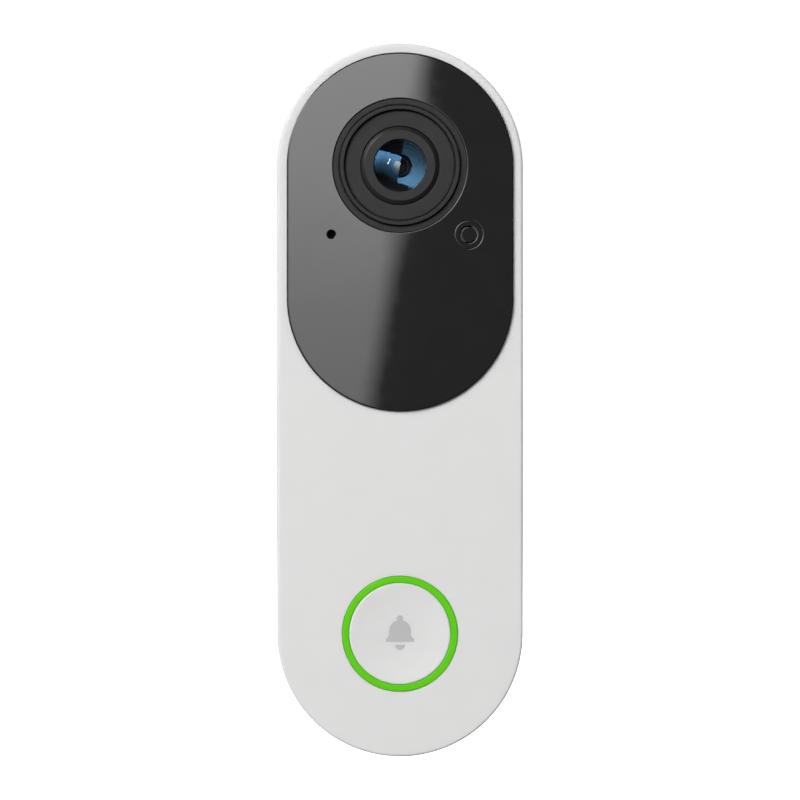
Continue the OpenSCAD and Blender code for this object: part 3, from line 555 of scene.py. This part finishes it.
# ---------------------------------------------------------------- light ring and button
# The ring stands on a shelf, and a wider pipe runs back from the shelf to the lamps behind it
cap_r = 9.4
ring_in, ring_out, ring_edge = cap_r + 0.05, 10.7, 0.22
pipe_in, shelf_low, shelf_top = 11.0, 20.4, 21.2
ring_face = ring["front"]
lathe("light_ring_turned", ring["x"], ring["z"],
      [(ring_in, shelf_low), (pipe_in, shelf_low), (pipe_in, ring["back"]),
       (ring["r"], ring["back"]), (ring["r"], shelf_top), (ring_out, shelf_top)]
      + arc(ring_out - ring_edge, ring_face - ring_edge, ring_edge, 0, 90, 5)
      + arc(ring_in + ring_edge, ring_face - ring_edge, ring_edge, 90, 180, 5),
      count=200, replaces=["light_ring"], slot="ring_light", material=ring_glow, sharp=30)

cap_front, cap_round = button["front"], 0.3
dish_rim, dish_deep, dish_steps = cap_r - 0.4, 0.4, 40
ball_r = (dish_rim ** 2 + dish_deep ** 2) / (2 * dish_deep)


def dish(r):
    """Depth of the dished face at radius r."""
    return cap_front - dish_deep + ball_r - math.sqrt(ball_r * ball_r - r * r)


# The cap from the middle of its back: the stem, the skirt and its flange, the rounded edge, the
# brow and the dish
stem_r, stem_d = 1.6, 19.9
skirt_in, skirt_roof_d, skirt_flange_d = 8.2, 22.3, 20.38
stem = [(0, stem_d), (stem_r, stem_d), (stem_r, skirt_roof_d)]
skirt = [(skirt_in, skirt_roof_d), (skirt_in, button["back"]), (button["r"], button["back"]),
         (button["r"], skirt_flange_d), (cap_r, skirt_flange_d)]
brow = [(dish_rim - 0.02, cap_front - 0.012), (dish_rim + 0.06, cap_front - 0.002)]
dish_points = [(i * dish_rim / dish_steps, dish(i * dish_rim / dish_steps))
               for i in range(dish_steps)]
button_profile = (
    stem + skirt + arc(cap_r - cap_round, cap_front - cap_round, cap_round, 0, 88, 8)
    + brow[::-1] + dish_points[::-1])
lathe("push_button_cap", button["x"], button["z"], button_profile, closed=False, count=220,
      body="button", replaces=["push_button"], slot="white_button",
      material=looks["white_button"].mat, sharp=30)

# ---------------------------------------------------------------- bell symbol
BELL_R, BELL_U = 2.0, 0.5
KNOB_R, KNOB_U = 0.57, 2.82
BRIM_X, BRIM_LOW, BRIM_HIGH, FLARE_U = 2.6, -1.5, -0.98, -0.45
CLAPPER_R, CLAPPER_U = 0.92, -2.1
SYMBOL_RISE = 0.012


def curve(r, u, start, turn, steps):
    """Points on an arc round (0, u), angles in degrees."""
    angles = [math.radians(start + turn * i / steps) for i in range(steps + 1)]
    return [(r * math.cos(a), u + r * math.sin(a)) for a in angles]


def bell_points():
    """The bell's outline: up its right side, round its knob and down its left side."""
    side = curve(BELL_R, BELL_U, 0, 77.4, 20)
    knob = curve(KNOB_R, KNOB_U, -40.2, 260.4, 28)
    other_side = curve(BELL_R, BELL_U, 102.6, 77.4, 20)
    return ([(BRIM_X, BRIM_LOW), (BRIM_X, BRIM_HIGH), (BELL_R, FLARE_U)] + side + knob + other_side
            + [(-BELL_R, FLARE_U), (-BRIM_X, BRIM_HIGH), (-BRIM_X, BRIM_LOW)])


def inlay(bm, outline, rise):
    """A thin prism whose face follows the dish, raised by rise mm, from an outline in mm."""
    top = [bm.verts.new(place(button["x"] + x, button["z"] + y, dish(math.hypot(x, y)) + rise))
           for x, y in outline]
    low = [bm.verts.new(place(button["x"] + x, button["z"] + y, symbol["back"] + 0.05))
           for x, y in outline]
    n = len(outline)
    for i in range(n):
        bm.faces.new((top[i], top[(i + 1) % n], low[(i + 1) % n], low[i]))
    for loop in (top, low):
        edges = [bm.edges.get((loop[i], loop[(i + 1) % n])) for i in range(n)]
        bmesh.ops.triangle_fill(bm, edges=edges, use_beauty=True)


piece = Piece()
inlay(piece.bm, bell_points(), SYMBOL_RISE)
inlay(piece.bm, curve(CLAPPER_R, CLAPPER_U, 180, 180, 28), SYMBOL_RISE)
piece.finish("bell_symbol_inlay", body="button", replaces=["bell_symbol"], slot="symbol_print",
             material=looks["symbol_print"].mat, sharp=20)

# ---------------------------------------------------------------- studio
def stage_material(name, colour, strength):
    """A matt material that also glows."""
    mat = bpy.data.materials.new(name)
    mat.use_nodes = True
    bsdf = mat.node_tree.nodes["Principled BSDF"]
    bsdf.inputs["Base Color"].default_value = (*colour, 1)
    bsdf.inputs["Roughness"].default_value = 0.9
    bsdf.inputs["Emission Color"].default_value = (1, 1, 1, 1)
    bsdf.inputs["Emission Strength"].default_value = strength
    return mat


def card(name, corners, material, receivers=()):
    """A glowing card that only mirrors see, and only the receivers' mirrors if there are any."""
    mesh = bpy.data.meshes.new(name)
    mesh.from_pydata(corners, [], [(0, 1, 2, 3)])
    mesh.materials.append(material)
    made = bpy.data.objects.new(name, mesh)
    bpy.context.scene.collection.objects.link(made)
    made.visible_camera = False
    made.visible_diffuse = False
    made.visible_shadow = False
    if receivers:
        lit = bpy.data.collections.new(name + "_receivers")
        for receiver in receivers:
            lit.objects.link(receiver)
        made.light_linking.receiver_collection = lit


def facing_square(direction, far, half):
    """Corners of a square that faces the object from a direction."""
    toward = Vector(direction).normalized()
    across = toward.orthogonal().normalized()
    along = toward.cross(across)
    return [tuple(toward * far + (across * a + along * b) * half)
            for a, b in ((-1, -1), (1, -1), (1, 1), (-1, 1))]


FLOOR_HALF, FLOOR_GAP = 40.0, 0.055
floor_mesh = bpy.data.meshes.new("floor")
floor_z = cad_bounds[0][2] - FLOOR_GAP
floor_mesh.from_pydata([(x * FLOOR_HALF, y * FLOOR_HALF, floor_z)
                        for x, y in ((-1, -1), (1, -1), (1, 1), (-1, 1))], [], [(0, 1, 2, 3)])
floor = bpy.data.objects.new("floor", floor_mesh)
bpy.context.scene.collection.objects.link(floor)
floor_mesh.materials.append(stage_material("PaleFloor", (0.9, 0.9, 0.9), 0.8))
floor.visible_glossy = False
floor.visible_diffuse = False

# The softbox: a plane in front, its right edge leaning to the right and its top edge rising to
# the left, brightest at the top and fading out towards the bottom.
SOFT_Y = cad_bounds[0][1] - 1.2
SOFT_CORNERS = [(-2.2, -0.70), (-0.12, -0.70), (0.085, 0.50), (-2.2, 1.60)]
EDGE_X, EDGE_LEAN, EDGE_BLUR = -0.0177, math.tan(math.radians(9.4)), 0.0068
TOP_Z, TOP_RISE, TOP_BLUR = 0.51862, 0.477, 0.02
# Heights, and how much the glow gains between them
GLOW_STEPS = ((-0.66, -0.18, 1.5), (-0.18, 0.0, 1.65), (0.0, 0.05, 0.45), (0.05, 0.14, 1.6),
              (0.14, 0.42, 2.5))
soft_mat = bpy.data.materials.new("SoftboxGlow")
soft_mat.use_nodes = True
tree = soft_mat.node_tree
tree.nodes.clear()


def maths(operation, a, b, c=None):
    """A maths node in the current tree, fed by numbers or by sockets."""
    node = tree.nodes.new("ShaderNodeMath")
    node.operation = operation
    for i, value in enumerate((a, b, c)):
        if value is None:
            continue
        if isinstance(value, (int, float)):
            node.inputs[i].default_value = value
        else:
            tree.links.new(value, node.inputs[i])
    return node.outputs[0]


def ramp(value, low, high, to_low, to_high):
    """A node in the current tree that maps low..high to to_low..to_high and holds at the ends."""
    node = tree.nodes.new("ShaderNodeMapRange")
    for key, number in (("From Min", low), ("From Max", high), ("To Min", to_low),
                        ("To Max", to_high)):
        node.inputs[key].default_value = number
    tree.links.new(value, node.inputs["Value"])
    return node.outputs["Result"]


coords = tree.nodes.new("ShaderNodeTexCoord")
split = tree.nodes.new("ShaderNodeSeparateXYZ")
tree.links.new(coords.outputs["Object"], split.inputs["Vector"])
from_edge = maths("SUBTRACT", split.outputs["X"],
                  maths("MULTIPLY_ADD", split.outputs["Z"], EDGE_LEAN, EDGE_X))
edge_mask = ramp(from_edge, -EDGE_BLUR, EDGE_BLUR, 1.0, 0.0)
top_line = maths("MULTIPLY_ADD", split.outputs["X"], -TOP_RISE, TOP_Z)
top_mask = ramp(maths("SUBTRACT", split.outputs["Z"], top_line), -TOP_BLUR, 0.0, 1.0, 0.0)
height = maths("ADD", split.outputs["Z"], ramp(split.outputs["X"], -0.75, -0.1, -0.36, 0.0))
glow = None
for start, end, gain in GLOW_STEPS:
    step = ramp(height, start, end, 0.0, gain)
    glow = step if glow is None else maths("ADD", glow, step)
emission = tree.nodes.new("ShaderNodeEmission")
tree.links.new(glow, emission.inputs["Strength"])
open_air = tree.nodes.new("ShaderNodeBsdfTransparent")
masked = tree.nodes.new("ShaderNodeMixShader")
tree.links.new(maths("MULTIPLY", edge_mask, top_mask), masked.inputs["Fac"])
tree.links.new(open_air.outputs["BSDF"], masked.inputs[1])
tree.links.new(emission.outputs["Emission"], masked.inputs[2])
output = tree.nodes.new("ShaderNodeOutputMaterial")
tree.links.new(masked.outputs["Shader"], output.inputs["Surface"])
card("softbox", [(x, SOFT_Y, z) for x, z in SOFT_CORNERS], soft_mat)

# A card far to the upper left that only the turned edges mirror, and one for the retainer's
# chamfer alone
card("edge_card", facing_square((-0.80, -0.22, 0.50), 1.5, 0.45),
     stage_material("EdgeGlow", (0.0, 0.0, 0.0), 5.0))
card("chamfer_card", facing_square((-0.68, -0.28, 0.68), 1.5, 0.35),
     stage_material("ChamferGlow", (0.0, 0.0, 0.0), 16.0), [retainer_piece])

# A narrow card whose only reflection is the small highlight on the front lens
GLINT_X, GLINT_Z, GLINT_LEAN = -0.46, 0.275, 0.045
GLINT_HALF_W, GLINT_HALF_H = 0.036, 0.095
GLINT_COLOUR, GLINT_GLOW = (1.0, 0.45, 0.33, 1), 60.0
glint_mat = bpy.data.materials.new("GlintGlow")
glint_mat.use_nodes = True
tree = glint_mat.node_tree
tree.nodes.clear()
emission = tree.nodes.new("ShaderNodeEmission")
emission.inputs["Color"].default_value = GLINT_COLOUR
emission.inputs["Strength"].default_value = GLINT_GLOW
open_air = tree.nodes.new("ShaderNodeBsdfTransparent")
both = tree.nodes.new("ShaderNodeAddShader")
output = tree.nodes.new("ShaderNodeOutputMaterial")
tree.links.new(emission.outputs["Emission"], both.inputs[0])
tree.links.new(open_air.outputs["BSDF"], both.inputs[1])
tree.links.new(both.outputs["Shader"], output.inputs["Surface"])
card("glint_card",
     [(GLINT_X + side * GLINT_HALF_W + end * GLINT_LEAN, SOFT_Y + 0.03,
       GLINT_Z + end * GLINT_HALF_H) for side, end in ((-1, -1), (1, -1), (1, 1), (-1, 1))],
     glint_mat, [dome_piece])


def lamp(name, azimuth, rise, far, size, energy):
    """A round lamp that no mirror sees. Azimuth runs from the front to the right, in degrees, and
    one beyond 90 is behind the object."""
    azimuth, rise = math.radians(azimuth), math.radians(rise)
    toward = Vector((math.sin(azimuth) * math.cos(rise), -math.cos(azimuth) * math.cos(rise),
                     math.sin(rise)))
    data = bpy.data.lights.new(name, "AREA")
    data.shape = "DISK"
    data.size = size
    data.energy = energy
    made = bpy.data.objects.new(name, data)
    made.location = toward * far
    made.rotation_euler = toward.to_track_quat("Z", "Y").to_euler()
    bpy.context.scene.collection.objects.link(made)
    made.visible_glossy = False


lamp("key", -27, 20, 3.0, 2.2, 93.5)
lamp("side", 145, 18, 1.7, 0.8, 16.5)
lamp("rear", 190, 45, 1.7, 0.5, 14.0)

# The room: white where the camera sees it, a soft fill on matt parts and dark in the mirrors. The
# fill and the mirrored room grow from the front to the back.
SEEN, FILL, MIRRORED = 1.1, (0.14, 0.42), (0.03, 0.45)
world = bpy.data.worlds.new("Studio")
bpy.context.scene.world = world
world.use_nodes = True
tree = world.node_tree
tree.nodes.clear()
seen = tree.nodes.new("ShaderNodeBackground")
seen.inputs["Strength"].default_value = SEEN
fill = tree.nodes.new("ShaderNodeBackground")
mirrored = tree.nodes.new("ShaderNodeBackground")
around = tree.nodes.new("ShaderNodeTexCoord")
parts = tree.nodes.new("ShaderNodeSeparateXYZ")
tree.links.new(around.outputs["Generated"], parts.inputs["Vector"])
tree.links.new(ramp(parts.outputs["Y"], -0.1, 0.5, *FILL), fill.inputs["Strength"])
tree.links.new(ramp(parts.outputs["Y"], 0.0, 0.5, *MIRRORED), mirrored.inputs["Strength"])
path = tree.nodes.new("ShaderNodeLightPath")
for_glossy = tree.nodes.new("ShaderNodeMixShader")
for_camera = tree.nodes.new("ShaderNodeMixShader")
out = tree.nodes.new("ShaderNodeOutputWorld")
for source in (seen, fill, mirrored):
    source.inputs["Color"].default_value = (1, 1, 1, 1)
tree.links.new(path.outputs["Is Glossy Ray"], for_glossy.inputs["Fac"])
tree.links.new(fill.outputs["Background"], for_glossy.inputs[1])
tree.links.new(mirrored.outputs["Background"], for_glossy.inputs[2])
tree.links.new(path.outputs["Is Camera Ray"], for_camera.inputs["Fac"])
tree.links.new(for_glossy.outputs["Shader"], for_camera.inputs[1])
tree.links.new(seen.outputs["Background"], for_camera.inputs[2])
tree.links.new(for_camera.outputs["Shader"], out.inputs["Surface"])

# ---------------------------------------------------------------- camera
DISTANCE, FRAME_WIDTH, SENSOR_MM = 0.6, 0.148, 36.0
camera_data = bpy.data.cameras.new("camera")
camera_data.sensor_width = SENSOR_MM
camera_data.lens = SENSOR_MM * DISTANCE / FRAME_WIDTH
camera_data.clip_start = 0.01
camera_data.clip_end = 200.0
camera = bpy.data.objects.new("camera", camera_data)
camera.location = (0, -(shell["front"] * MM + DISTANCE), 0)
camera.rotation_euler = (math.radians(90), 0, 0)
bpy.context.scene.collection.objects.link(camera)
bpy.context.scene.camera = camera
bpy.context.scene.view_settings.view_transform = "Standard"
bpy.context.scene.view_settings.look = "None"
